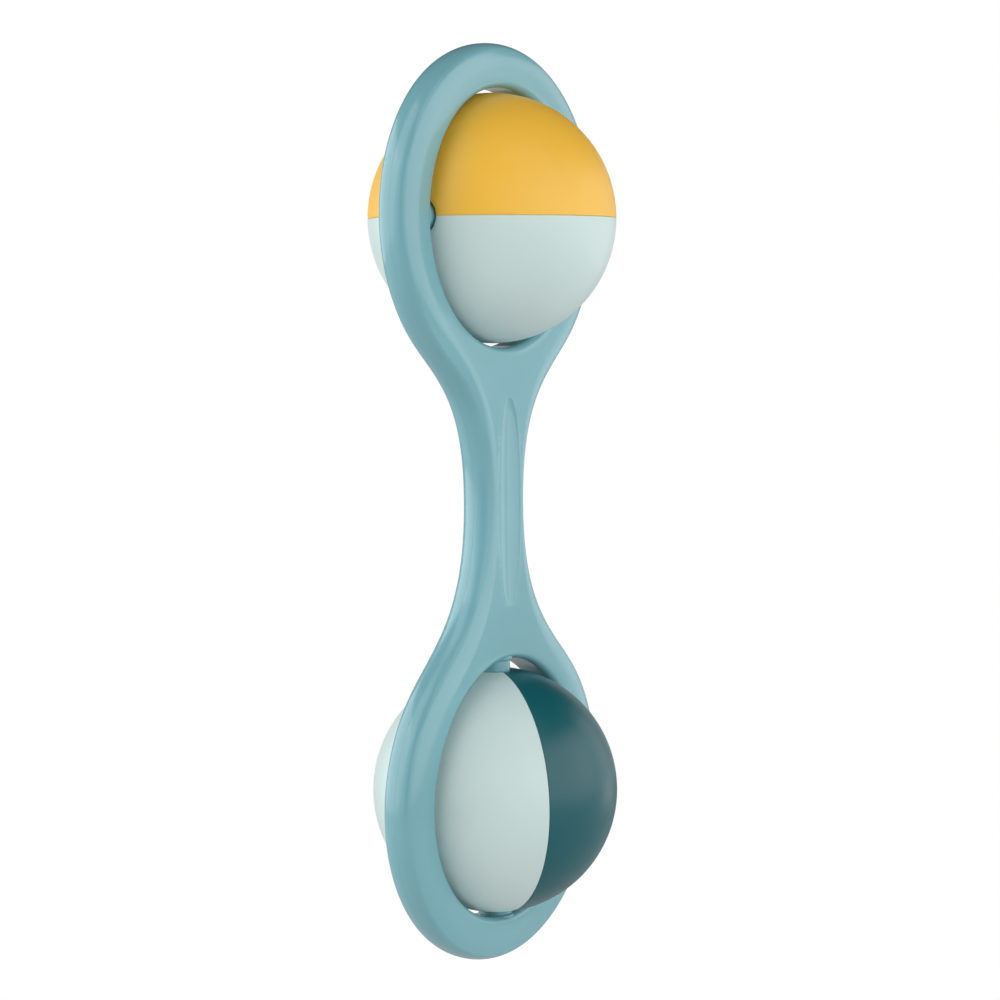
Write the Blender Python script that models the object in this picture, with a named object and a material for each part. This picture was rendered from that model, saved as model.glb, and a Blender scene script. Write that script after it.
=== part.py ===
"""Baby rattle with a dumb-bell frame and two captive balls that spin.

The frame lies in the XZ plane with its front towards -Y and its long axis up Z. Its origin is in
the handle, half way between the two balls. Two half shells make the frame. They trap four axle pins,
two for each ball.
The upper ball spins about X and the lower ball about Z. Each ball is two half shells closed round
the pins' heads, with loose beads inside.
"""

import math

import bmesh
import bpy
from mathutils import Matrix, Vector

MM = 0.001

# Driving dimensions
BALL_RADIUS = 22.5 * MM
BALL_CENTRE = 52.3 * MM  # from the frame's origin to each ball's centre
RING_WIDTH = 8.0 * MM
FRAME_THICKNESS = 7.2 * MM
WAIST_HALF_WIDTH = 6.4 * MM
WAIST_HEIGHT = 0.9 * MM  # the waist and its groove sit a little nearer the upper ball

# Clearances
BALL_TO_RING = 0.8 * MM
SEAM_HALF_GAP = 0.15 * MM  # each half shell stops this far from the seam plane
PIN_CLEARANCE = 0.3 * MM  # round a pin's root in the frame, and behind its head in the ball
PEG_CLEARANCE = 0.3 * MM  # between a peg and its socket
BEARING_CLEARANCE = 0.15 * MM  # between a pin and the ball that turns on it

# Frame
RING_INNER = BALL_RADIUS + BALL_TO_RING
RING_OUTER = RING_INNER + RING_WIDTH
HALF_THICKNESS = FRAME_THICKNESS / 2
OUTER_ROUND = 3.05 * MM
INNER_ROUND = 1.6 * MM
LOWER_HOLE_REACH = 1.1 * MM  # the lower ring's hole is drawn out this far towards the handle
HOLE_REACH_POWER = 3  # how quickly that dies away round the hole
ROUND_STEPS = 3
FLARE_JOIN = math.radians(-42.4)  # where the handle's flare meets the ring, from the ring's centre
FLARE_WAIST_REACH = 19.7 * MM  # how far the curve runs nearly straight from the waist
FLARE_RING_REACH = 10.1 * MM  # and how far it follows the ring's tangent
FLARE_STEPS = 8
RING_STEPS = 20
HOLE_STEPS = 48

# Grip groove, a shallow scoop with long sides and round ends on both faces of the handle
GROOVE_HALF_LENGTH = 19.2 * MM
GROOVE_HALF_WIDTH = 3.6 * MM
GROOVE_DEPTH = 0.8 * MM
GROOVE_END_POWER = 2.5  # 2 makes the groove's outline an ellipse, and more makes it squarer
GROOVE_LONG_STEPS = 14
GROOVE_CROSS_STEPS = 8
CUTTER_STAND_OFF = 0.5 * MM  # how far a cutter stands out of the face it cuts

# Pockets inside the frame, which keep its walls thin
RING_WALL = 2.0 * MM
RING_POCKET_DEPTH = 1.9 * MM
RING_POCKET_STEPS = 16
PIN_BLOCK_HALF_ANGLE = math.radians(16)  # the ring stays solid this far each side of a pin
HANDLE_WALL = 2.2 * MM
HANDLE_POCKET_DEPTH = 1.5 * MM
HANDLE_POCKET_TOP = 20.0 * MM
HANDLE_POCKET_STEPS = 12

# Pegs on the back shell and their sockets in the front shell
PEG_RADIUS = 1.0 * MM
PEG_REACH = 1.6 * MM  # into the front shell, from the seam plane
PEG_FOOT = 1.0 * MM  # into the back shell, where the peg joins it
PEG_ANGLE = math.radians(10.5)  # from each pin, round the ring
PEG_STEPS = 12

# Axle pin, measured along its axis from the ball's centre
HEAD_INNER_FACE = 17.2 * MM
HEAD_OUTER_FACE = 18.6 * MM
HEAD_RADIUS = 3.8 * MM
HEAD_CHAMFER = 0.6 * MM
SHANK_RADIUS = 2.85 * MM
SHANK_END = 25.0 * MM
ROOT_RADIUS = 1.7 * MM
ROOT_END = 29.0 * MM
FLANGE_RADIUS = 2.4 * MM
FLANGE_START = 26.8 * MM
FLANGE_END = 27.8 * MM
PIN_STEPS = 14
BORE_LEAD_IN = 2.0 * MM  # how far a bore's cutter stands out into the ring's hole

# Ball shells
BALL_WALL = 1.8 * MM
BALL_INNER = BALL_RADIUS - BALL_WALL
MOUTH_RADIUS = 3.2 * MM  # the recess round each pin
MOUTH_CHAMFER = 0.35 * MM
MOUTH_DEPTH = 1.6 * MM
BEARING_RADIUS = SHANK_RADIUS + BEARING_CLEARANCE
COLLAR_RADIUS = 5.0 * MM
COLLAR_FACE = HEAD_OUTER_FACE + PIN_CLEARANCE
BALL_OUTER_STEPS = 15
BALL_INNER_STEPS = 10
BALL_TURN_STEPS = 15
LOWER_BALL_TURN = math.radians(-30.5)  # how far the lower ball has spun from square to the frame

# Beads
BEAD_RADIUS = 2.3 * MM
BEAD_TO_WALL = 0.5 * MM
BEAD_ORBIT = BALL_INNER - BEAD_TO_WALL - BEAD_RADIUS  # from the ball's centre to a bead's
BEADS_PER_BALL = 7
UPPER_BEAD_SPREAD = 5.1 * MM  # from the middle bead to those round it
LOWER_BEAD_SPREAD = 8.2 * MM  # the beads lie in a ring round the lower pin's head
BEAD_SEGMENTS = 10
BEAD_RINGS = 6

# Colours, linear RGB
FRAME_BLUE = (0.20, 0.45, 0.51)
YELLOW = (0.93, 0.58, 0.06)
MINT = (0.61, 0.76, 0.74)
DARK_TEAL = (0.01, 0.10, 0.12)
BEAD_WHITE = (0.80, 0.79, 0.75)

# Surfaces
FRAME_ROUGHNESS = 0.3
PIN_ROUGHNESS = 0.35
BALL_ROUGHNESS = 0.42
BEAD_ROUGHNESS = 0.4
SHARP_EDGE = math.radians(32)  # edges turned more than this stay crisp
MERGE_DISTANCE = 0.001 * MM


def clear_scene():
    for old in list(bpy.data.objects):
        bpy.data.objects.remove(old)


def plastic(name, colour, roughness):
    material = bpy.data.materials.new(name)
    material.use_nodes = True
    shader = material.node_tree.nodes["Principled BSDF"]
    shader.inputs["Base Color"].default_value = (*colour, 1.0)
    shader.inputs["Roughness"].default_value = roughness
    shader.inputs["Metallic"].default_value = 0.0
    return material


def object_from(name, bm, material=None):
    """A new object in the scene that holds the mesh, with round faces shaded smooth."""
    bmesh.ops.recalc_face_normals(bm, faces=bm.faces)
    mesh = bpy.data.meshes.new(name)
    bm.to_mesh(mesh)
    bm.free()
    made = bpy.data.objects.new(name, mesh)
    bpy.context.scene.collection.objects.link(made)
    if material:
        mesh.materials.append(material)
        mesh.shade_smooth()
        mesh.set_sharp_from_angle(angle=SHARP_EDGE)
    else:
        made.hide_render = True
        made.display_type = "WIRE"
    return made


def boolean(target, tool, operation):
    step = target.modifiers.new(tool.name, "BOOLEAN")
    step.operation = operation
    step.solver = "EXACT"
    step.object = tool


# ---------------------------------------------------------------- outlines in the frame's plane


def bezier(a, b, c, d, t):
    s = 1 - t
    return a * s**3 + b * 3 * s * s * t + c * 3 * s * t * t + d * t**3


def flare_curve(waist_height):
    """The four control points of the handle's edge, from the waist up to the ring, as (x, z)."""
    join = Vector((math.cos(FLARE_JOIN), math.sin(FLARE_JOIN))) * RING_OUTER
    tangent = Vector((math.sin(FLARE_JOIN), -math.cos(FLARE_JOIN)))  # towards the handle
    join.y += BALL_CENTRE
    waist = Vector((WAIST_HALF_WIDTH, waist_height))
    return waist, waist + Vector((0.0, FLARE_WAIST_REACH)), join + tangent * FLARE_RING_REACH, join


def quarter_outline(waist_height):
    """The frame's edge from the waist on the right up to the top of the upper ring."""
    control = flare_curve(waist_height)
    points = [bezier(*control, k / FLARE_STEPS) for k in range(FLARE_STEPS)]
    for k in range(RING_STEPS + 1):
        angle = FLARE_JOIN + (math.pi / 2 - FLARE_JOIN) * k / RING_STEPS
        points.append(Vector((RING_OUTER * math.cos(angle), BALL_CENTRE + RING_OUTER * math.sin(angle))))
    return points


def full_outline():
    """The frame's whole edge, anticlockwise seen from the front, from mirrored quarters."""
    upper = quarter_outline(WAIST_HEIGHT)
    lower = quarter_outline(-WAIST_HEIGHT)
    upper_left = [Vector((-p.x, p.y)) for p in reversed(upper[1:-1])]
    lower_left = [Vector((-p.x, -p.y)) for p in lower]
    lower_right = [Vector((p.x, -p.y)) for p in reversed(lower[1:-1])]
    return upper + upper_left + lower_left + lower_right


def inset(points, distance):
    """A closed anticlockwise outline moved inwards, square to its own edge."""
    moved = []
    for k, point in enumerate(points):
        along = (points[(k + 1) % len(points)] - points[k - 1]).normalized()
        moved.append(point + Vector((-along.y, along.x)) * distance)
    return moved


def circle(radius, centre_z, steps):
    turn = 2 * math.pi / steps
    return [
        Vector((radius * math.cos(k * turn), centre_z + radius * math.sin(k * turn)))
        for k in range(steps)
    ]


def hole_outline(radius, centre_z, reach):
    """A ring's hole: a circle drawn out by reach on the side towards the handle."""
    towards_handle = -math.copysign(1.0, centre_z)
    points = []
    for p in circle(radius, 0.0, HOLE_STEPS):
        share = max(0.0, towards_handle * p.y / radius)
        drawn_out = towards_handle * reach * share**HOLE_REACH_POWER
        points.append(Vector((p.x, centre_z + p.y + drawn_out)))
    return points


# ---------------------------------------------------------------- mesh helpers


def add_loop(bm, points, y):
    return [bm.verts.new((p.x, y, p.y)) for p in points]


def bridge(bm, first, second):
    """Quads between two closed loops of the same length."""
    for k in range(len(first)):
        bm.faces.new((first[k - 1], first[k], second[k], second[k - 1]))


def fill_flat(bm, loops):
    """Triangles over the flat region between these closed loops."""
    edges = [bm.edges.get((loop[k - 1], loop[k])) for loop in loops for k in range(len(loop))]
    bmesh.ops.triangle_fill(bm, edges=edges, use_beauty=True)


def lathe(profile, turn, steps):
    """The closed profile, a list of (radius, height), spun about Z."""
    bm = bmesh.new()
    verts = [bm.verts.new((r, 0.0, z)) for r, z in profile]
    if turn < 2 * math.pi:
        face = bm.faces.new(verts)
        bmesh.ops.spin(bm, geom=[face], axis=(0, 0, 1), cent=(0, 0, 0), angle=turn, steps=steps)
    else:
        edges = [bm.edges.new((verts[k], verts[k + 1])) for k in range(len(verts) - 1)]
        bmesh.ops.spin(
            bm, geom=verts + edges, axis=(0, 0, 1), cent=(0, 0, 0), angle=turn, steps=steps, use_merge=True
        )
        bmesh.ops.remove_doubles(bm, verts=bm.verts, dist=MERGE_DISTANCE)
    return bm


def prism(points, y_low, y_high):
    """A closed outline in the frame's plane, pulled from y_low to y_high."""
    bm = bmesh.new()
    low = add_loop(bm, points, y_low)
    high = add_loop(bm, points, y_high)
    bridge(bm, low, high)
    bm.faces.new(low)
    bm.faces.new(high)
    return bm


# ---------------------------------------------------------------- frame shells


def rounded_levels(radius):
    """(height over the seam plane, inset) down a wall that ends in a round edge."""
    levels = [(SEAM_HALF_GAP, 0.0)]
    for k in range(ROUND_STEPS + 1):
        angle = math.pi / 2 * k / ROUND_STEPS
        height = HALF_THICKNESS - radius + radius * math.sin(angle)
        levels.append((height, radius - radius * math.cos(angle)))
    return levels


def wall(bm, outline, side, radius):
    """A wall with a round edge. Returns its loops at the seam and on the outer face."""
    loops = []
    for height, distance in rounded_levels(radius):
        loops.append(add_loop(bm, outline(distance), side * height))
    for first, second in zip(loops, loops[1:]):
        bridge(bm, first, second)
    return loops[0], loops[-1]


def frame_half(name, side, material):
    """One half of the frame: side -1 is the front shell, and +1 the back."""
    bm = bmesh.new()
    edge = full_outline()
    walls = [wall(bm, lambda d: inset(edge, d), side, OUTER_ROUND)]
    for centre, reach in ((BALL_CENTRE, 0.0), (-BALL_CENTRE, LOWER_HOLE_REACH)):
        walls.append(
            wall(bm, lambda d, z=centre, r=reach: hole_outline(RING_INNER + d, z, r), side, INNER_ROUND)
        )
    fill_flat(bm, [seam for seam, face in walls])
    fill_flat(bm, [face for seam, face in walls])
    return object_from(name, bm, material)


def groove_width(z):
    """The groove's half width at a height over the waist."""
    share = 1 - abs(z / GROOVE_HALF_LENGTH) ** GROOVE_END_POWER
    return GROOVE_HALF_WIDTH * share ** (1 / GROOVE_END_POWER)


def groove_section(bm, z, side):
    """A closed slice of the groove's cutter at z over the waist, with a round floor and a flat top."""
    half_width = groove_width(z)
    depth = GROOVE_DEPTH * half_width / GROOVE_HALF_WIDTH
    points = []
    for k in range(GROOVE_CROSS_STEPS + 1):
        across = 2 * k / GROOVE_CROSS_STEPS - 1
        points.append((half_width * across, HALF_THICKNESS - depth * (1 - across * across)))
    points.append((half_width, HALF_THICKNESS + CUTTER_STAND_OFF))
    points.append((-half_width, HALF_THICKNESS + CUTTER_STAND_OFF))
    return [bm.verts.new((x, side * y, WAIST_HEIGHT + z)) for x, y in points]


def groove_cutter(name, side):
    """The grip groove, lofted through slices that crowd together towards its round ends."""
    bm = bmesh.new()
    sections = []
    for k in range(1, GROOVE_LONG_STEPS):
        z = -GROOVE_HALF_LENGTH * math.cos(math.pi * k / GROOVE_LONG_STEPS)
        sections.append(groove_section(bm, z, side))
    for first, second in zip(sections, sections[1:]):
        bridge(bm, first, second)
    bm.faces.new(sections[0])
    bm.faces.new(sections[-1])
    return object_from(name, bm)


def ring_pocket_cutter(name, centre_z, middle_angle):
    """A curved slot inside the ring, from one pin's block round to the other's."""
    half_turn = math.pi / 2 - PIN_BLOCK_HALF_ANGLE
    inner = []
    outer = []
    for k in range(RING_POCKET_STEPS + 1):
        angle = middle_angle - half_turn + 2 * half_turn * k / RING_POCKET_STEPS
        direction = Vector((math.cos(angle), math.sin(angle)))
        inner.append(direction * (RING_INNER + RING_WALL) + Vector((0.0, centre_z)))
        outer.append(direction * (RING_OUTER - RING_WALL) + Vector((0.0, centre_z)))
    bm = prism(outer + list(reversed(inner)), -RING_POCKET_DEPTH, RING_POCKET_DEPTH)
    return object_from(name, bm)


def handle_pocket_cutter():
    """The slot inside the handle. It follows the handle's edge, a wall's thickness in."""
    quarters = []
    for upright in (1, -1):
        control = flare_curve(upright * WAIST_HEIGHT)
        edge = [bezier(*control, k / HANDLE_POCKET_STEPS) for k in range(HANDLE_POCKET_STEPS + 1)]
        reached = [p for p in edge if p.y < HANDLE_POCKET_TOP]
        quarters.append([Vector((p.x - HANDLE_WALL, upright * p.y)) for p in reached])
    upper, lower = quarters
    right_side = list(reversed(lower[1:])) + upper
    points = right_side + [Vector((-p.x, p.y)) for p in reversed(right_side)]
    return object_from("handle_pocket", prism(points, -HANDLE_POCKET_DEPTH, HANDLE_POCKET_DEPTH))


def pin_places():
    """(pin name, ball centre height, angle of the pin round the ring) for the four pins."""
    return (
        ("upper_axle_left", BALL_CENTRE, math.pi),
        ("upper_axle_right", BALL_CENTRE, 0.0),
        ("lower_axle_top", -BALL_CENTRE, math.pi / 2),
        ("lower_axle_bottom", -BALL_CENTRE, -math.pi / 2),
    )


def aim(made, centre_z, angle):
    """Puts an object at a ball's centre with its own +Z pointing along angle in the frame's plane."""
    made.location = (0.0, 0.0, centre_z)
    made.rotation_euler = (0.0, math.pi / 2 - angle, 0.0)


def pin_bore_cutter(name):
    """The stepped hole that holds one pin's root, with clearance all round."""
    shank = SHANK_RADIUS + PIN_CLEARANCE
    root = ROOT_RADIUS + PIN_CLEARANCE
    flange = FLANGE_RADIUS + PIN_CLEARANCE
    start = RING_INNER - BORE_LEAD_IN
    flange_start = FLANGE_START - PIN_CLEARANCE
    flange_end = FLANGE_END + PIN_CLEARANCE
    profile = [
        (0.0, start),
        (shank, start),
        (shank, SHANK_END + PIN_CLEARANCE),
        (root, SHANK_END + PIN_CLEARANCE),
        (root, flange_start),
        (flange, flange_start),
        (flange, flange_end),
        (root, flange_end),
        (root, ROOT_END + PIN_CLEARANCE),
        (0.0, ROOT_END + PIN_CLEARANCE),
    ]
    return object_from(name, lathe(profile, 2 * math.pi, PIN_STEPS))


def peg_places():
    """The pegs' centres in the frame's plane, one each side of every pin."""
    middle = (RING_INNER + RING_OUTER) / 2
    for _, centre_z, angle in pin_places():
        for turn in (-PEG_ANGLE, PEG_ANGLE):
            direction = Vector((math.cos(angle + turn), math.sin(angle + turn)))
            yield direction * middle + Vector((0.0, centre_z))


def peg_tool(name, place, radius, y_low, y_high):
    ring = [p + place for p in circle(radius, 0.0, PEG_STEPS)]
    return object_from(name, prism(ring, y_low, y_high))


def frame_shells(material):
    front = frame_half("frame_front_shell", -1, material)
    back = frame_half("frame_back_shell", 1, material)
    shared = [handle_pocket_cutter()]
    for label, centre_z, start in (("upper", BALL_CENTRE, math.pi / 2), ("lower", -BALL_CENTRE, 0.0)):
        for part, angle in (("a", start), ("b", start + math.pi)):
            shared.append(ring_pocket_cutter(f"{label}_ring_pocket_{part}", centre_z, angle))
    for pin, centre_z, angle in pin_places():
        bore = pin_bore_cutter(f"{pin}_bore")
        aim(bore, centre_z, angle)
        shared.append(bore)
    for shell, side, label in ((front, -1, "front"), (back, 1, "back")):
        for tool in shared:
            boolean(shell, tool, "DIFFERENCE")
        boolean(shell, groove_cutter(f"{label}_groove", side), "DIFFERENCE")
    for k, place in enumerate(peg_places()):
        peg = peg_tool(f"peg_{k}", place, PEG_RADIUS, -PEG_REACH, PEG_FOOT)
        boolean(back, peg, "UNION")
        socket_radius = PEG_RADIUS + PEG_CLEARANCE
        socket = peg_tool(f"socket_{k}", place, socket_radius, -PEG_REACH - PEG_CLEARANCE, PEG_FOOT)
        boolean(front, socket, "DIFFERENCE")


# ---------------------------------------------------------------- pins, balls and beads


def axle_pins(material):
    """Four pins that share one mesh. Each has a head in its ball and a flange in the frame."""
    profile = [
        (0.0, HEAD_INNER_FACE),
        (HEAD_RADIUS - HEAD_CHAMFER, HEAD_INNER_FACE),
        (HEAD_RADIUS, HEAD_INNER_FACE + HEAD_CHAMFER),
        (HEAD_RADIUS, HEAD_OUTER_FACE),
        (SHANK_RADIUS, HEAD_OUTER_FACE),
        (SHANK_RADIUS, SHANK_END),
        (ROOT_RADIUS, SHANK_END),
        (ROOT_RADIUS, FLANGE_START),
        (FLANGE_RADIUS, FLANGE_START),
        (FLANGE_RADIUS, FLANGE_END),
        (ROOT_RADIUS, FLANGE_END),
        (ROOT_RADIUS, ROOT_END),
        (0.0, ROOT_END),
    ]
    mesh = None
    for name, centre_z, angle in pin_places():
        if mesh is None:
            pin = object_from(name, lathe(profile, 2 * math.pi, PIN_STEPS), material)
            mesh = pin.data
        else:
            pin = bpy.data.objects.new(name, mesh)
            bpy.context.scene.collection.objects.link(pin)
        aim(pin, centre_z, angle)


def ball_profile():
    """A ball's wall from pole to pole as (radius, height), with a bearing collar at each pole."""
    rim = MOUTH_RADIUS + MOUTH_CHAMFER
    rim_angle = math.acos(rim / BALL_RADIUS)
    collar_angle = math.acos(COLLAR_RADIUS / BALL_INNER)
    outer = []
    for k in range(BALL_OUTER_STEPS + 1):
        angle = rim_angle - 2 * rim_angle * k / BALL_OUTER_STEPS
        outer.append((BALL_RADIUS * math.cos(angle), BALL_RADIUS * math.sin(angle)))
    inner = []
    for k in range(BALL_INNER_STEPS + 1):
        angle = 2 * collar_angle * k / BALL_INNER_STEPS - collar_angle
        inner.append((BALL_INNER * math.cos(angle), BALL_INNER * math.sin(angle)))
    mouth_floor = BALL_RADIUS - MOUTH_DEPTH
    mouth = [
        (MOUTH_RADIUS, BALL_RADIUS - 2 * MOUTH_CHAMFER),
        (MOUTH_RADIUS, mouth_floor),
        (BEARING_RADIUS, mouth_floor),
        (BEARING_RADIUS, COLLAR_FACE),
        (COLLAR_RADIUS, COLLAR_FACE),
    ]
    lower_mouth = [(r, -z) for r, z in mouth]
    return outer + lower_mouth + inner + list(reversed(mouth))


def ball_half(name, centre, axis_turn, material):
    """Half a ball. It is spun about Z into the half with y > 0, then axis_turn puts it in place."""
    bm = lathe(ball_profile(), math.pi, BALL_TURN_STEPS)
    bmesh.ops.translate(bm, verts=bm.verts, vec=(0.0, SEAM_HALF_GAP, 0.0))
    made = object_from(name, bm, material)
    made.parent = centre
    made.matrix_basis = axis_turn
    return made


def ball_centre(name, z, turn):
    """An empty on the ball's spin axis. The ball's pieces and its beads hang on it."""
    empty = bpy.data.objects.new(name, None)
    bpy.context.scene.collection.objects.link(empty)
    empty.location = (0.0, 0.0, z)
    empty.rotation_euler = (0.0, 0.0, turn)
    return empty


def beads(label, parent, places, material):
    mesh = None
    for k, place in enumerate(places):
        name = f"{label}_bead_{k + 1}"
        if mesh is None:
            bm = bmesh.new()
            bmesh.ops.create_uvsphere(
                bm, u_segments=BEAD_SEGMENTS, v_segments=BEAD_RINGS, radius=BEAD_RADIUS
            )
            bead = object_from(name, bm, material)
            mesh = bead.data
        else:
            bead = bpy.data.objects.new(name, mesh)
            bpy.context.scene.collection.objects.link(bead)
        bead.parent = parent
        bead.location = place


def bead_place(spread, angle):
    """A place low in a ball, against its wall, spread away from the vertical through its centre."""
    depth = math.sqrt(BEAD_ORBIT**2 - spread**2)
    return Vector((spread * math.cos(angle), spread * math.sin(angle), -depth))


def upper_ball(top_material, bottom_material, bead_material):
    """Its pins lie along X, and its seam is level."""
    centre = ball_centre("upper_ball_centre", BALL_CENTRE, 0.0)
    lay_along_x = Matrix.Rotation(math.pi / 2, 4, "Y")
    face_up = Matrix.Rotation(math.pi / 2, 4, "X") @ lay_along_x
    face_down = Matrix.Rotation(-math.pi / 2, 4, "X") @ lay_along_x
    ball_half("upper_ball_top_shell", centre, face_up, top_material)
    ball_half("upper_ball_bottom_shell", centre, face_down, bottom_material)
    turn = 2 * math.pi / (BEADS_PER_BALL - 1)
    around = [bead_place(UPPER_BEAD_SPREAD, k * turn) for k in range(BEADS_PER_BALL - 1)]
    beads("upper", centre, [bead_place(0.0, 0.0)] + around, bead_material)


def lower_ball(left_material, right_material, bead_material):
    """Its pins lie along Z, and its seam stands upright."""
    centre = ball_centre("lower_ball_centre", -BALL_CENTRE, LOWER_BALL_TURN)
    ball_half("lower_ball_left_shell", centre, Matrix.Rotation(math.pi / 2, 4, "Z"), left_material)
    ball_half("lower_ball_right_shell", centre, Matrix.Rotation(-math.pi / 2, 4, "Z"), right_material)
    turn = 2 * math.pi / BEADS_PER_BALL
    places = [bead_place(LOWER_BEAD_SPREAD, k * turn) for k in range(BEADS_PER_BALL)]
    beads("lower", centre, places, bead_material)


def main():
    clear_scene()
    frame_blue = plastic("frame_blue_plastic", FRAME_BLUE, FRAME_ROUGHNESS)
    pin_blue = plastic("pin_blue_plastic", FRAME_BLUE, PIN_ROUGHNESS)
    yellow = plastic("yellow_plastic", YELLOW, BALL_ROUGHNESS)
    mint = plastic("mint_plastic", MINT, BALL_ROUGHNESS)
    dark_teal = plastic("dark_teal_plastic", DARK_TEAL, BALL_ROUGHNESS)
    bead_white = plastic("bead_plastic", BEAD_WHITE, BEAD_ROUGHNESS)
    frame_shells(frame_blue)
    axle_pins(pin_blue)
    upper_ball(yellow, mint, bead_white)
    lower_ball(mint, dark_teal, bead_white)


main()
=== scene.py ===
"""The baby rattle's looks: smooth shells, pins, balls and beads, lit in a white studio.

Lengths are in millimetres until a mesh is made, and every mesh is made in metres in the part's frame.
"""

import math

import bmesh
import bpy
from mathutils import Matrix, Vector

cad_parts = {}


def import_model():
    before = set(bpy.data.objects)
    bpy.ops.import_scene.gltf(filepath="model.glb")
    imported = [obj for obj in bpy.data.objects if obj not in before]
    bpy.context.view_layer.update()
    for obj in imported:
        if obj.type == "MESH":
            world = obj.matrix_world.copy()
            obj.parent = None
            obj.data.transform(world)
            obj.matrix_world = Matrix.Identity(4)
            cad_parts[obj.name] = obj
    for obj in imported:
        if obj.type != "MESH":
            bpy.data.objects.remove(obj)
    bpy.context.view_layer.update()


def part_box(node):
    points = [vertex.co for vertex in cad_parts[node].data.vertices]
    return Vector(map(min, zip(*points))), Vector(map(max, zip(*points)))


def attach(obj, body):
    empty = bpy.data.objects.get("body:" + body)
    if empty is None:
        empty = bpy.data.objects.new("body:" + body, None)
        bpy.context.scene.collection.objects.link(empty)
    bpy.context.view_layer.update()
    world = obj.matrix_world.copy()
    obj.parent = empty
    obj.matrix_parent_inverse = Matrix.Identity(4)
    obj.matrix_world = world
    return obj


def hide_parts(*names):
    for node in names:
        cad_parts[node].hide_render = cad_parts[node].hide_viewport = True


MM = 0.001

# The part's own sizes, in millimetres
BALL_RADIUS = 22.5
BALL_CENTRE = 52.3
RING_INNER = 23.3
RING_OUTER = 31.3
HALF_THICKNESS = 3.6
WAIST_HALF_WIDTH = 6.4
WAIST_HEIGHT = 0.9  # the waist and its groove sit a little nearer the upper ball
LOWER_HOLE_REACH = 1.1  # the lower ring's hole is drawn out this far towards the handle
HOLE_REACH_POWER = 3  # how quickly that dies away round the hole
FLARE_JOIN = math.radians(-42.4)
FLARE_WAIST_REACH = 19.7
FLARE_RING_REACH = 10.1
LOWER_BALL_TURN = math.radians(-30.5)

# Frame shells
FRAME_SEAM = 0.004  # half the hairline gap between the shells
FRAME_SEAM_BEVEL = 0.012
SEAM_LEVELS = [(FRAME_SEAM_BEVEL, FRAME_SEAM), (0.0, FRAME_SEAM + FRAME_SEAM_BEVEL)]

# Edge profiles: how far in the round edge runs, how far in the dome runs, and how far the dome falls
RING_EDGE = (1.2, 4.6, 1.2)  # the outer edge on the rings
WAIST_EDGE = (2.2, 2.75, 1.3)  # and at the waist, where the groove needs the room
HOLE_EDGE = (1.1, 2.0, 0.25)  # and round each ring's hole
EDGE_BLEND_HEIGHT = 30.0  # the waist's edge has turned into the ring's at this height
OUTER_POWER = 2.2  # the round edge is a superellipse: 2 is an ellipse, and more is squarer
HOLE_POWER = 2.1
HOLE_WALL_HALF = 2.3  # the flat band inside each ring, from the seam
EDGE_STEPS = 18
FACE_STEPS = 8
FLARE_STEPS = 44
RING_STEPS = 84
HOLE_STEPS = 168

# Grip groove
GROOVE_HALF_LENGTH = 19.2
GROOVE_HALF_WIDTH = 3.5
GROOVE_DEPTH = 0.8
GROOVE_END_POWER = 2.5
GROOVE_STEP = 0.07  # how deep the soft little step just inside the rim is
GROOVE_STEP_RUN = 0.32  # and how wide
GROOVE_SEGMENTS = 160
GROOVE_LOOPS = 14
GROOVE_STEP_LOOPS = 6

# Pins. Faces are measured along the axis from the ball's centre
PIN_RADIUS = 2.85
PIN_HEAD_RADIUS = 3.8
PIN_HEAD_CHAMFER = 0.5
PIN_HEAD_INNER_FACE = 17.2
PIN_HEAD_OUTER_FACE = 18.6
PIN_FILLET = 0.45  # where the shank meets the ring's wall
PIN_FILLET_STEPS = 6
PIN_ROOT = 1.2  # how far the pin runs on into the ring
PIN_STEPS = 64

# Ball shells
BALL_WALL = 1.8
BALL_SEAM = 0.02
BALL_SEAM_BEVEL = 0.07
MOUTH_RADIUS = 3.2  # the opening round each pin
MOUTH_BEVEL = 0.4
MOUTH_BEVEL_STEPS = 5
MOUTH_LIP = 0.3  # how far the mouth's lowest ring stands over the inner skin
BALL_STATIONS = 88
BALL_ARC_STEPS = 88

# Beads
BEADS_PER_BALL = 7
BEAD_RIDGE = 0.03  # the faint ridge that the mould leaves
BEAD_RIDGE_WIDTH = 0.06  # in radians of latitude
BEAD_STEPS = 32
BEAD_RINGS = 24

# Camera, from the middle of the handle
CAMERA_AZIMUTH = math.radians(-55.904)
CAMERA_ELEVATION = math.radians(4.946)
CAMERA_ROLL = math.radians(-0.315)
CAMERA_DISTANCE = 441.9
CAMERA_OFFSET = (1.163, 1.194)
CAMERA_LENS = 87.0
CAMERA_SENSOR = 36.0
CAMERA_CLIP_START = 0.01  # metres

# Studio
WHITE = (1, 1, 1, 1)
WORLD_FILL = 0.04
FLOOR_HEIGHT = -260
FLOOR_HALF_WIDTH = 3000
FLOOR_GREY = (0.7, 0.7, 0.7, 1)  # the matt floor that bounces the lamps' light on to the object
FLOOR_ROUGHNESS = 0.9
FLOOR_GLOW = 1.0  # what the camera sees in its place, an even white

# name, azimuth and elevation seen from the object, distance, width, height, power
LAMPS = (
    ("back_left", -145, 14, 0.9, 1.6, 0.9, 9.2),
    ("left", -93, 16, 0.9, 0.34, 0.9, 0.9),
    ("left_high", -112, 52, 0.9, 0.5, 0.6, 1.2),
    ("front_left", -42, 12, 0.9, 0.5, 0.8, 1.3),
    ("front_right", 15, 13, 0.9, 1.5, 0.8, 6.7),
    ("right", 72, 0, 0.9, 0.45, 0.8, 1.3),
    ("right_high", -10, 52, 0.9, 0.6, 0.6, 0.9),
    ("backdrop", 124, 0, 1.2, 1.6, 0.7, 1.8),
)

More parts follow.
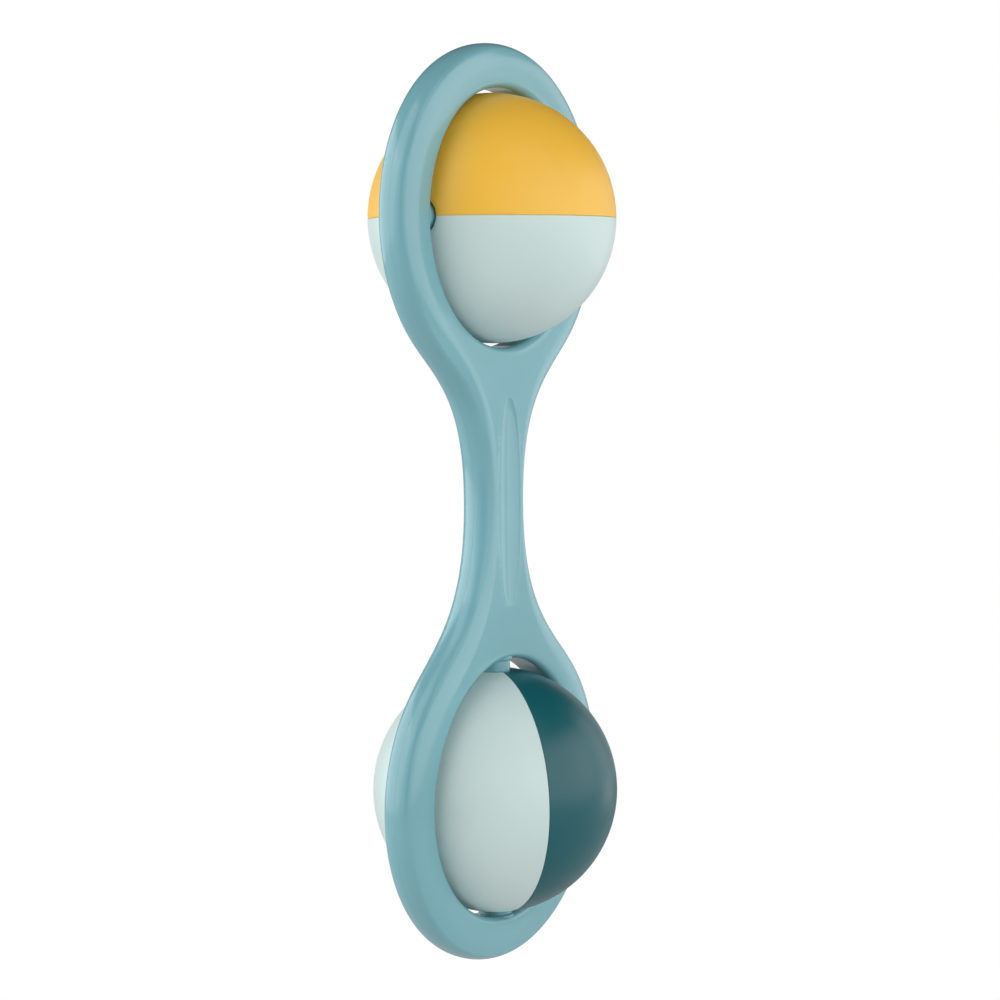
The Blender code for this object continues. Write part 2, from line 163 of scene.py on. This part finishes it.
# Plastics: colour, roughness, coat and how strong the moulded grain is
FRAME_BLUE = ((0.192, 0.438, 0.496), 0.24, 0.35, 0.10)
PIN_BLUE = ((0.187, 0.428, 0.485), 0.32, 0.10, 0.12)
YELLOW = ((0.97, 0.55, 0.055), 0.38, 0.0, 0.12)
MINT = ((0.63, 0.775, 0.755), 0.38, 0.0, 0.12)
DARK_TEAL = ((0.001, 0.10, 0.118), 0.34, 0.0, 0.12)
BEAD_WHITE = ((0.80, 0.79, 0.75), 0.35, 0.0, 0.1)
TONE_NOISE = (45, 2)  # scale and detail
TONE_DRIFT = 0.03  # how far the colour wanders, as a share
POLISH_NOISE = (260, 5)
POLISH_DRIFT = 0.025  # how far the roughness wanders
GRAIN_NOISE = (2600, 3)
NOISE_LOW = 0.3  # nearly all of a noise lies between these
NOISE_HIGH = 0.7
GRAIN_HEIGHT = 0.00004  # metres
PLASTIC_IOR = 1.5
COAT_ROUGHNESS = 0.12
SMOOTH_LIMIT = math.radians(35)  # edges turned more than this stay crisp


# ---------------------------------------------------------------- meshes


class Solid:
    """Vertices and faces gathered in millimetres, then made into one object."""

    def __init__(self):
        self.bm = bmesh.new()

    def loop(self, points):
        return [self.bm.verts.new(Vector(p) * MM) for p in points]

    def bridge(self, first, second, closed=True):
        for k in range(0 if closed else 1, len(first)):
            self.bm.faces.new((first[k - 1], first[k], second[k], second[k - 1]))

    def fill(self, loops):
        edges = []
        for loop in loops:
            edges += [self.bm.edges.get((loop[k - 1], loop[k])) for k in range(len(loop))]
        bmesh.ops.triangle_fill(self.bm, edges=edges, use_beauty=True)

    def finish(self, name, material):
        bmesh.ops.recalc_face_normals(self.bm, faces=self.bm.faces)
        mesh = bpy.data.meshes.new(name)
        self.bm.to_mesh(mesh)
        self.bm.free()
        mesh.materials.append(material)
        mesh.shade_smooth()
        mesh.set_sharp_from_angle(angle=SMOOTH_LIMIT)
        made = bpy.data.objects.new(name, mesh)
        bpy.context.scene.collection.objects.link(made)
        weighted = made.modifiers.new("even_shading", "WEIGHTED_NORMAL")
        weighted.keep_sharp = True
        return made


def superellipse(steps, power, along, up):
    """(run in, height) round a quarter turn, from a wall to the face."""
    points = []
    for k in range(steps + 1):
        t = math.pi / 2 * k / steps
        run = along * (1 - math.cos(t) ** (2 / power))
        points.append((run, up * math.sin(t) ** (2 / power)))
    return points


def bezier(a, b, c, d, t):
    s = 1 - t
    return a * s**3 + b * 3 * s * s * t + c * 3 * s * t * t + d * t**3


def quarter_outline(waist_height):
    """The frame's edge from the waist on the right up to the top of the upper ring."""
    join = Vector((math.cos(FLARE_JOIN), math.sin(FLARE_JOIN))) * RING_OUTER
    tangent = Vector((math.sin(FLARE_JOIN), -math.cos(FLARE_JOIN)))
    join.y += BALL_CENTRE
    waist = Vector((WAIST_HALF_WIDTH, waist_height))
    leaving = waist + Vector((0.0, FLARE_WAIST_REACH))
    arriving = join + tangent * FLARE_RING_REACH
    steps = [k / FLARE_STEPS for k in range(FLARE_STEPS)]
    quarter = [bezier(waist, leaving, arriving, join, t) for t in steps]
    for k in range(RING_STEPS + 1):
        angle = FLARE_JOIN + (math.pi / 2 - FLARE_JOIN) * k / RING_STEPS
        rise = BALL_CENTRE + RING_OUTER * math.sin(angle)
        quarter.append(Vector((RING_OUTER * math.cos(angle), rise)))
    return quarter


def smooth(share):
    """Eases 0 to 1 with no kink at either end."""
    return share * share * (3 - 2 * share)


def outline():
    """The frame's edge as (point, inward direction, edge profile), all the way round."""
    upper = quarter_outline(WAIST_HEIGHT)
    lower = quarter_outline(-WAIST_HEIGHT)
    points = list(upper)
    points += [Vector((-p.x, p.y)) for p in reversed(upper[1:-1])]
    points += [Vector((-p.x, -p.y)) for p in lower]
    points += [Vector((p.x, -p.y)) for p in reversed(lower[1:-1])]
    result = []
    for k, p in enumerate(points):
        along = (points[(k + 1) % len(points)] - points[k - 1]).normalized()
        blend = smooth(min(1.0, abs(p.y - WAIST_HEIGHT) / EDGE_BLEND_HEIGHT))
        sizes = [w + (r - w) * blend for w, r in zip(WAIST_EDGE, RING_EDGE)]
        result.append((p, Vector((-along.y, along.x)), edge_profile(*sizes, 0.0, OUTER_POWER)))
    return result


def edge_profile(run, reach, fall, wall, power):
    """(run in, height) from the top of a wall, over its round edge and up the domed face."""
    points = [(r, wall + h) for r, h in superellipse(EDGE_STEPS, power, run, HALF_THICKNESS - wall)]
    for k in range(1, FACE_STEPS + 1):
        points.append((run + (reach - run) * k / FACE_STEPS, HALF_THICKNESS))
    return [(r, h * (1 - fall / HALF_THICKNESS * (1 - r / reach) ** 2)) for r, h in points]


def groove_width(z):
    """The groove's half width at a height over the waist."""
    share = max(0.0, 1 - abs(z / GROOVE_HALF_LENGTH) ** GROOVE_END_POWER)
    return GROOVE_HALF_WIDTH * share ** (1 / GROOVE_END_POWER)


# ---------------------------------------------------------------- materials


def plastic(name, colour, roughness, coat, grain):
    """Moulded plastic: faint tone drift, uneven polish and a fine grain."""
    material = bpy.data.materials.new(name)
    material.use_nodes = True
    nodes = material.node_tree.nodes
    link = material.node_tree.links.new
    shader = nodes["Principled BSDF"]
    place = nodes.new("ShaderNodeTexCoord")

    def noise(scale, detail):
        made = nodes.new("ShaderNodeTexNoise")
        made.inputs["Scale"].default_value = scale
        made.inputs["Detail"].default_value = detail
        link(place.outputs["Object"], made.inputs["Vector"])
        return made

    drift = noise(*TONE_NOISE)
    tone = nodes.new("ShaderNodeValToRGB")
    tone.color_ramp.elements[0].position = NOISE_LOW
    tone.color_ramp.elements[1].position = NOISE_HIGH
    tone.color_ramp.elements[0].color = (*(c * (1 - TONE_DRIFT) for c in colour), 1)
    tone.color_ramp.elements[1].color = (*(min(1, c * (1 + TONE_DRIFT)) for c in colour), 1)
    link(drift.outputs["Fac"], tone.inputs["Fac"])
    link(tone.outputs["Color"], shader.inputs["Base Color"])

    polish = nodes.new("ShaderNodeMapRange")
    polish.inputs["From Min"].default_value = NOISE_LOW
    polish.inputs["From Max"].default_value = NOISE_HIGH
    polish.inputs["To Min"].default_value = roughness - POLISH_DRIFT
    polish.inputs["To Max"].default_value = roughness + POLISH_DRIFT
    link(noise(*POLISH_NOISE).outputs["Fac"], polish.inputs["Value"])
    link(polish.outputs["Result"], shader.inputs["Roughness"])

    skin = nodes.new("ShaderNodeBump")
    skin.inputs["Strength"].default_value = grain
    skin.inputs["Distance"].default_value = GRAIN_HEIGHT
    link(noise(*GRAIN_NOISE).outputs["Fac"], skin.inputs["Height"])
    link(skin.outputs["Normal"], shader.inputs["Normal"])
    shader.inputs["IOR"].default_value = PLASTIC_IOR
    shader.inputs["Coat Weight"].default_value = coat
    shader.inputs["Coat Roughness"].default_value = COAT_ROUGHNESS
    return material


# ---------------------------------------------------------------- frame


def frame_shell(name, side, material):
    """One half of the frame: side -1 is the front shell, and +1 the back."""
    solid = Solid()
    edge = outline()
    loops = []
    for run, height in SEAM_LEVELS:
        points = [moved_in(p, inward, run, side * height) for p, inward, _ in edge]
        loops.append(solid.loop(points))
    for k in range(1, EDGE_STEPS + FACE_STEPS + 1):
        points = []
        for p, inward, profile in edge:
            run, height = profile[k]
            points.append(moved_in(p, inward, run, side * height))
        loops.append(solid.loop(points))
    for first, second in zip(loops, loops[1:]):
        solid.bridge(first, second)
    seams, faces = [loops[0]], [loops[-1]]
    for centre, reach in ((BALL_CENTRE, 0.0), (-BALL_CENTRE, LOWER_HOLE_REACH)):
        ring = hole(solid, centre, reach, side)
        seams.append(ring[0])
        faces.append(ring[-1])
    faces.append(groove(solid, side))
    solid.fill(seams)
    solid.fill(faces)
    return solid.finish(name, material)


def moved_in(point, inward, run, y):
    """A point of the frame's edge, moved in by run and put at y."""
    moved = point + inward * run
    return (moved.x, y, moved.y)


def hole(solid, centre, reach, side):
    """The wall and round rim of a ring's inside, drawn out by reach on the side of the handle."""
    levels = SEAM_LEVELS + edge_profile(*HOLE_EDGE, HOLE_WALL_HALF, HOLE_POWER)
    towards_handle = -math.copysign(1.0, centre)
    loops = []
    for run, height in levels:
        r = RING_INNER + run
        points = []
        for k in range(HOLE_STEPS):
            t = 2 * math.pi * k / HOLE_STEPS
            share = max(0.0, towards_handle * math.sin(t))
            drawn_out = towards_handle * reach * share**HOLE_REACH_POWER
            points.append((r * math.cos(t), side * height, centre + r * math.sin(t) + drawn_out))
        loops.append(solid.loop(points))
    for first, second in zip(loops, loops[1:]):
        solid.bridge(first, second)
    return loops


def groove(solid, side):
    """The grip groove: a soft little step at its rim and a smooth scoop.

    Returns the loop on the face.
    """
    turn = 2 * math.pi / GROOVE_SEGMENTS
    exponent = 2 / GROOVE_END_POWER

    def ring(shrink, extra):
        """A loop of the groove, shrunk towards its middle and let in by extra below the scoop."""
        points = []
        for k in range(GROOVE_SEGMENTS):
            c, v = math.cos(k * turn), math.sin(k * turn)
            x = math.copysign(abs(c) ** exponent, c) * GROOVE_HALF_WIDTH * shrink
            z = math.copysign(abs(v) ** exponent, v) * GROOVE_HALF_LENGTH * shrink
            width = groove_width(z)
            across = min(1.0, abs(x) / width) if width > 0 else 1.0
            scoop = GROOVE_DEPTH * width / GROOVE_HALF_WIDTH * (1 - across * across)
            points.append((x, side * (HALF_THICKNESS - extra - scoop), WAIST_HEIGHT + z))
        return solid.loop(points)

    step_share = GROOVE_STEP_RUN / GROOVE_HALF_WIDTH
    loops = []
    for k in range(GROOVE_STEP_LOOPS + 1):
        share = k / GROOVE_STEP_LOOPS
        loops.append(ring(1 - share * step_share, smooth(share) * GROOVE_STEP))
    for k in range(1, GROOVE_LOOPS):
        loops.append(ring((1 - step_share) * (1 - k / GROOVE_LOOPS), GROOVE_STEP))
    for first, second in zip(loops, loops[1:]):
        solid.bridge(first, second)
    solid.bm.faces.new(loops[-1])
    return loops[0]


# ---------------------------------------------------------------- pins and balls


def turned(name, profile, steps, material):
    """A solid of revolution about Z from (radius, height) points, with a flat cap at each end."""
    solid = Solid()
    turn = 2 * math.pi / steps
    loops = []
    for r, z in profile:
        ring = [(r * math.cos(k * turn), r * math.sin(k * turn), z) for k in range(steps)]
        loops.append(solid.loop(ring))
    for first, second in zip(loops, loops[1:]):
        solid.bridge(first, second)
    solid.bm.faces.new(loops[0])
    solid.bm.faces.new(loops[-1])
    return solid.finish(name, material)


def placed(made, centre_z, angle):
    """Turns a mesh made along +Z to point along angle in the frame's plane from a ball's centre."""
    turn = Matrix.Translation((0, 0, centre_z * MM)) @ Matrix.Rotation(math.pi / 2 - angle, 4, "Y")
    made.data.transform(turn)
    return made


def pin(name, centre_z, angle, wall, material):
    """An axle pin: its head in the ball, its shank across the gap, and a fillet at the ring's wall."""
    profile = [
        (PIN_HEAD_RADIUS - PIN_HEAD_CHAMFER, PIN_HEAD_INNER_FACE),
        (PIN_HEAD_RADIUS, PIN_HEAD_INNER_FACE + PIN_HEAD_CHAMFER),
        (PIN_HEAD_RADIUS, PIN_HEAD_OUTER_FACE),
        (PIN_RADIUS, PIN_HEAD_OUTER_FACE),
        (PIN_RADIUS, wall - PIN_FILLET),
    ]
    for k in range(1, PIN_FILLET_STEPS + 1):
        t = math.pi / 2 * k / PIN_FILLET_STEPS
        widening = PIN_FILLET * (1 - math.cos(t))
        profile.append((PIN_RADIUS + widening, wall - PIN_FILLET * (1 - math.sin(t))))
    profile.append((PIN_RADIUS + PIN_FILLET, wall + PIN_ROOT))
    return placed(turned(name, profile, PIN_STEPS, material), centre_z, angle)


def ball_stations():
    """Pairs of (radius, height) on a ball's outer and inner skins, from one mouth to the other."""
    inner = BALL_RADIUS - BALL_WALL
    rim = MOUTH_RADIUS + MOUTH_BEVEL
    rim_height = math.sqrt(BALL_RADIUS**2 - rim**2)
    mouth = [(MOUTH_RADIUS, inner + MOUTH_LIP)]
    for k in range(MOUTH_BEVEL_STEPS + 1):
        t = math.pi / 2 * k / MOUTH_BEVEL_STEPS
        height = rim_height - MOUTH_BEVEL * (1 - math.sin(t))
        mouth.append((rim - MOUTH_BEVEL * math.cos(t), height))
    rim_angle = math.acos(rim / BALL_RADIUS)
    top = [((r, h), (r, math.sqrt(inner**2 - r * r))) for r, h in mouth]
    middle = []
    for k in range(1, BALL_STATIONS):
        angle = rim_angle - 2 * rim_angle * k / BALL_STATIONS
        outer_point = (BALL_RADIUS * math.cos(angle), BALL_RADIUS * math.sin(angle))
        middle.append((outer_point, (inner * math.cos(angle), inner * math.sin(angle))))
    bottom = [((r, -h), (ri, -hi)) for (r, h), (ri, hi) in reversed(top)]
    return top + middle + bottom


def ball_shell(name, turn, centre_z, material):
    """Half a hollow ball. It is made with its poles on Z and its seam facing -Y, then turned."""
    solid = Solid()
    loops = []
    for (r, h), (ri, hi) in ball_stations():
        first = math.asin((BALL_SEAM + BALL_SEAM_BEVEL) / r)
        outer = [(r - BALL_SEAM_BEVEL, BALL_SEAM, h)]
        for k in range(BALL_ARC_STEPS + 1):
            t = first + (math.pi - 2 * first) * k / BALL_ARC_STEPS
            outer.append((r * math.cos(t), r * math.sin(t), h))
        outer.append((BALL_SEAM_BEVEL - r, BALL_SEAM, h))
        inner_first = math.asin(BALL_SEAM / ri)
        inner = []
        for k in range(len(outer)):
            t = inner_first + (math.pi - 2 * inner_first) * k / (len(outer) - 1)
            inner.append((ri * math.cos(t), ri * math.sin(t), hi))
        loops.append(solid.loop(outer + list(reversed(inner))))
    for low, high in zip(loops, loops[1:]):
        solid.bridge(low, high)
    for end in (loops[0], loops[-1]):
        half = len(end) // 2
        solid.bridge(end[:half], list(reversed(end[half:])), closed=False)
    made = solid.finish(name, material)
    made.data.transform(Matrix.Translation((0, 0, centre_z * MM)) @ turn)
    return made


def bead(name, node, material):
    """A rattle bead with the faint ridge its mould leaves, in its CAD node's place."""
    low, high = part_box(node)
    centre = (low + high) / 2
    radius = (high.z - low.z) / 2 / MM - BEAD_RIDGE
    profile = []
    for k in range(1, BEAD_RINGS):
        latitude = math.pi * k / BEAD_RINGS
        ridge = BEAD_RIDGE * math.exp(-(((latitude - math.pi / 2) / BEAD_RIDGE_WIDTH) ** 2))
        profile.append(((radius + ridge) * math.sin(latitude), radius * math.cos(latitude)))
    made = turned(name, profile, BEAD_STEPS, material)
    made.data.transform(Matrix.Translation(centre))
    return made


# ---------------------------------------------------------------- studio


def pale_world():
    """White behind everything as the camera sees it, and only a faint fill on the object."""
    world = bpy.data.worlds.new("studio")
    bpy.context.scene.world = world
    world.use_nodes = True
    nodes = world.node_tree.nodes
    link = world.node_tree.links.new
    fill = nodes["Background"]
    fill.inputs["Color"].default_value = WHITE
    fill.inputs["Strength"].default_value = WORLD_FILL
    backdrop = nodes.new("ShaderNodeBackground")
    backdrop.inputs["Color"].default_value = WHITE
    seen = nodes.new("ShaderNodeLightPath")
    mix = nodes.new("ShaderNodeMixShader")
    link(seen.outputs["Is Camera Ray"], mix.inputs["Fac"])
    link(fill.outputs["Background"], mix.inputs[1])
    link(backdrop.outputs["Background"], mix.inputs[2])
    link(mix.outputs["Shader"], nodes["World Output"].inputs["Surface"])


def pale_floor():
    """A matt floor that shows as even white to the camera."""
    floor_solid = Solid()
    corners = ((-1, -1), (1, -1), (1, 1), (-1, 1))
    ring = [(x * FLOOR_HALF_WIDTH, y * FLOOR_HALF_WIDTH, FLOOR_HEIGHT) for x, y in corners]
    floor_solid.bm.faces.new(floor_solid.loop(ring))
    floor_material = bpy.data.materials.new("studio_floor")
    floor_material.use_nodes = True
    nodes = floor_material.node_tree.nodes
    link = floor_material.node_tree.links.new
    matt = nodes["Principled BSDF"]
    matt.inputs["Base Color"].default_value = FLOOR_GREY
    matt.inputs["Roughness"].default_value = FLOOR_ROUGHNESS
    glow = nodes.new("ShaderNodeEmission")
    glow.inputs["Strength"].default_value = FLOOR_GLOW
    by_ray = nodes.new("ShaderNodeMixShader")
    link(nodes.new("ShaderNodeLightPath").outputs["Is Camera Ray"], by_ray.inputs["Fac"])
    link(matt.outputs["BSDF"], by_ray.inputs[1])
    link(glow.outputs["Emission"], by_ray.inputs[2])
    link(by_ray.outputs["Shader"], nodes["Material Output"].inputs["Surface"])
    floor_solid.finish("studio_floor", floor_material)


def soft_boxes():
    """Rectangular lamps round the object, each facing its middle and unseen by the camera."""
    for name, azimuth, elevation, distance, width, height, power in LAMPS:
        a, e = math.radians(azimuth), math.radians(elevation)
        towards = Vector((math.sin(a) * math.cos(e), -math.cos(a) * math.cos(e), math.sin(e)))
        data = bpy.data.lights.new(name, "AREA")
        data.shape = "RECTANGLE"
        data.size = width
        data.size_y = height
        data.energy = power
        lamp = bpy.data.objects.new(name, data)
        lamp.visible_camera = False
        bpy.context.scene.collection.objects.link(lamp)
        lamp.location = towards * distance
        lamp.rotation_euler = towards.to_track_quat("Z", "Y").to_euler()


def camera():
    """The camera, to the front left of the handle and a little above it, with a slight roll."""
    a, e, roll = CAMERA_AZIMUTH, CAMERA_ELEVATION, CAMERA_ROLL
    back = Vector((math.sin(a) * math.cos(e), -math.cos(a) * math.cos(e), math.sin(e)))
    level = Vector((math.cos(a), math.sin(a), 0.0))
    upright = back.cross(level)
    right = level * math.cos(roll) + upright * math.sin(roll)
    up = upright * math.cos(roll) - level * math.sin(roll)
    place = (back * CAMERA_DISTANCE + right * CAMERA_OFFSET[0] + up * CAMERA_OFFSET[1]) * MM
    data = bpy.data.cameras.new("camera")
    data.lens = CAMERA_LENS
    data.sensor_width = CAMERA_SENSOR
    data.clip_start = CAMERA_CLIP_START
    made = bpy.data.objects.new("camera", data)
    bpy.context.scene.collection.objects.link(made)
    rotation = Matrix((right, up, back)).transposed().to_4x4()
    made.matrix_world = Matrix.Translation(place) @ rotation
    bpy.context.scene.camera = made
    bpy.context.scene.view_settings.view_transform = "Standard"


# ---------------------------------------------------------------- everything together


def stand_in(made, body, node):
    """Puts a finished piece on its body, in place of its CAD node."""
    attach(made, body)
    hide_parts(node)


def main():
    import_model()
    frame_blue = plastic("frame_blue", *FRAME_BLUE)
    pin_blue = plastic("pin_blue", *PIN_BLUE)
    yellow = plastic("yellow", *YELLOW)
    mint = plastic("mint", *MINT)
    dark_teal = plastic("dark_teal", *DARK_TEAL)
    bead_white = plastic("bead_white", *BEAD_WHITE)

    stand_in(frame_shell("frame_front", -1, frame_blue), "frame", "frame_front_shell")
    stand_in(frame_shell("frame_back", 1, frame_blue), "frame", "frame_back_shell")
    for node, centre_z, angle, wall in (
        ("upper_axle_left", BALL_CENTRE, math.pi, RING_INNER),
        ("upper_axle_right", BALL_CENTRE, 0.0, RING_INNER),
        ("lower_axle_top", -BALL_CENTRE, math.pi / 2, RING_INNER + LOWER_HOLE_REACH),
        ("lower_axle_bottom", -BALL_CENTRE, -math.pi / 2, RING_INNER),
    ):
        made = pin(node.replace("axle", "pin"), centre_z, angle, wall, pin_blue)
        stand_in(made, "frame", node)

    along_x = Matrix.Rotation(math.pi / 2, 4, "Y")
    spun = Matrix.Rotation(LOWER_BALL_TURN, 4, "Z")
    quarter = math.pi / 2
    shells = (
        ("upper_ball_top", Matrix.Rotation(quarter, 4, "X") @ along_x, yellow, "yellow"),
        ("upper_ball_bottom", Matrix.Rotation(-quarter, 4, "X") @ along_x, mint, "mint"),
        ("lower_ball_left", spun @ Matrix.Rotation(quarter, 4, "Z"), mint, "mint"),
        ("lower_ball_right", spun @ Matrix.Rotation(-quarter, 4, "Z"), dark_teal, "dark_teal"),
    )
    for name, turn, material, slot in shells:
        upper = name.startswith("upper")
        body = "upper_ball" if upper else "lower_ball"
        made = ball_shell(name, turn, BALL_CENTRE if upper else -BALL_CENTRE, material)
        stand_in(made, body, f"{name}_shell")

    for label in ("upper", "lower"):
        for k in range(1, BEADS_PER_BALL + 1):
            node = f"{label}_bead_{k}"
            made = bead(f"{label}_rattle_bead_{k}", node, bead_white)
            stand_in(made, f"{label}_beads", node)

    pale_world()
    pale_floor()
    soft_boxes()
    camera()
    bpy.context.view_layer.update()


main()
